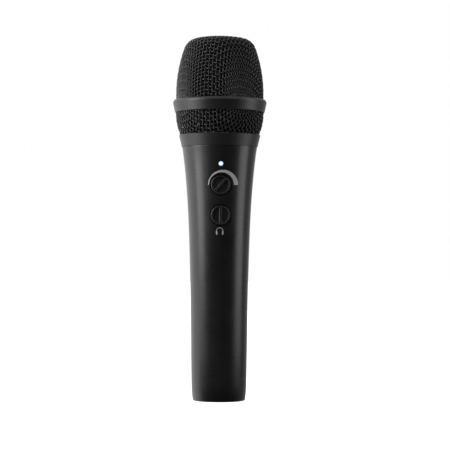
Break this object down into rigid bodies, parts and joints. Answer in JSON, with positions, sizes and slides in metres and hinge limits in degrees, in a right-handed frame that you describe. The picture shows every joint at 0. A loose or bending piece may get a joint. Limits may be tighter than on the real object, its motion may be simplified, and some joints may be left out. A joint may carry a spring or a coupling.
{
  "type": "karaoke microphone",
  "caption": "Hand-held karaoke microphone: a woven wire grille head on a tapered handle with rotary level knobs, a status light and sockets in the foot.",
  "frame": {"origin": "centre of the flat foot, where the microphone's axis meets the surface it stands on", "axes": "+Z along the microphone's axis, from the foot to the top of the grille; -Y is the front, where the knobs and the light are; +X is the right-hand side seen from the front"},
  "size_m": [0.0502, 0.0502, 0.195],
  "materials": {
    "handle_paint": "satin",
    "head_paint": "satin",
    "grille_wire": "satin",
    "foam": "matte",
    "black_rubber": "matte",
    "knob_plastic": "satin",
    "end_plate_plastic": "matte",
    "chassis_plastic": "matte",
    "white_nylon": "satin",
    "circuit_board": "satin",
    "chip_epoxy": "matte",
    "track_carbon": "matte",
    "screw_steel": "satin",
    "socket_steel": "satin",
    "capsule_aluminium": "satin",
    "contact_brass": "satin",
    "gold_film": "polished",
    "lead_red": "satin",
    "lead_black": "satin",
    "printed_marks": "matte",
    "light_pipe": "polished",
    "led_glow": "gloss"
  },
  "bodies": {
    "handle": {"handle_shell": "handle_paint", "inner_chassis": "chassis_plastic", "end_plate": "end_plate_plastic", "end_plate_screws": "screw_steel", "usb_socket_shell": "socket_steel", "usb_socket_tongue": "chip_epoxy", "headphone_jack": "chip_epoxy", "jack_contacts": "contact_brass", "main_board": "circuit_board", "board_screws": "screw_steel", "board_capacitors": "lead_black", "audio_codec_chip": "chip_epoxy", "headphone_amplifier_chip": "chip_epoxy", "clock_crystal": "socket_steel", "lead_connector": "white_nylon", "status_led": "led_glow", "status_light_pipe": "light_pipe", "capsule_carrier": "chassis_plastic", "carrier_screws": "screw_steel", "shock_mount": "black_rubber", "capsule_can": "capsule_aluminium", "capsule_dust_felt": "foam", "capsule_diaphragm_ring": "contact_brass", "capsule_diaphragm": "gold_film", "capsule_spacer": "white_nylon", "capsule_backplate": "contact_brass", "capsule_insulator": "white_nylon", "capsule_board": "circuit_board", "capsule_lead_red": "lead_red", "capsule_lead_black": "lead_black", "gain_pot_case": "chassis_plastic", "gain_pot_bushing": "socket_steel", "gain_pot_track": "track_carbon", "headphone_pot_case": "chassis_plastic", "headphone_pot_bushing": "socket_steel", "headphone_pot_track": "track_carbon"},
    "head_seal": {"collar_gasket": "black_rubber"},
    "grille_head": {"upper_grille": "grille_wire", "grille_band": "head_paint", "lower_grille": "grille_wire", "grille_collar": "head_paint", "upper_foam_liner": "foam", "lower_foam_liner": "foam"},
    "gain_control": {"gain_knob": "knob_plastic", "gain_pot_shaft": "white_nylon", "gain_pot_wiper": "contact_brass"},
    "headphone_control": {"headphone_knob": "knob_plastic", "headphone_pot_shaft": "white_nylon", "headphone_pot_wiper": "contact_brass"}
  },
  "joints": [
    {"name": "gain_turn", "type": "hinge", "parent": "handle", "child": "gain_control", "pos_m": [0, -0.015, 0.1147], "axis": [0, -1, 0], "range_deg": [-92.4, 177.6]},
    {"name": "headphone_turn", "type": "hinge", "parent": "handle", "child": "headphone_control", "pos_m": [0, -0.015, 0.09875], "axis": [0, -1, 0], "range_deg": [-135, 135]},
    {"name": "head_rise", "type": "slide", "parent": "handle", "child": "head_seal", "axis": [0, 0, 1], "range_m": [0, 0.0075]},
    {"name": "head_unscrew", "type": "hinge", "parent": "head_seal", "child": "grille_head", "pos_m": [0, 0, 0.1388], "axis": [0, 0, 1], "range_deg": [0, 1080]}
  ],
  "couplings": [
    {"joint": "head_rise", "follows": "head_unscrew", "m_per_rad": 0.00039789}
  ]
}
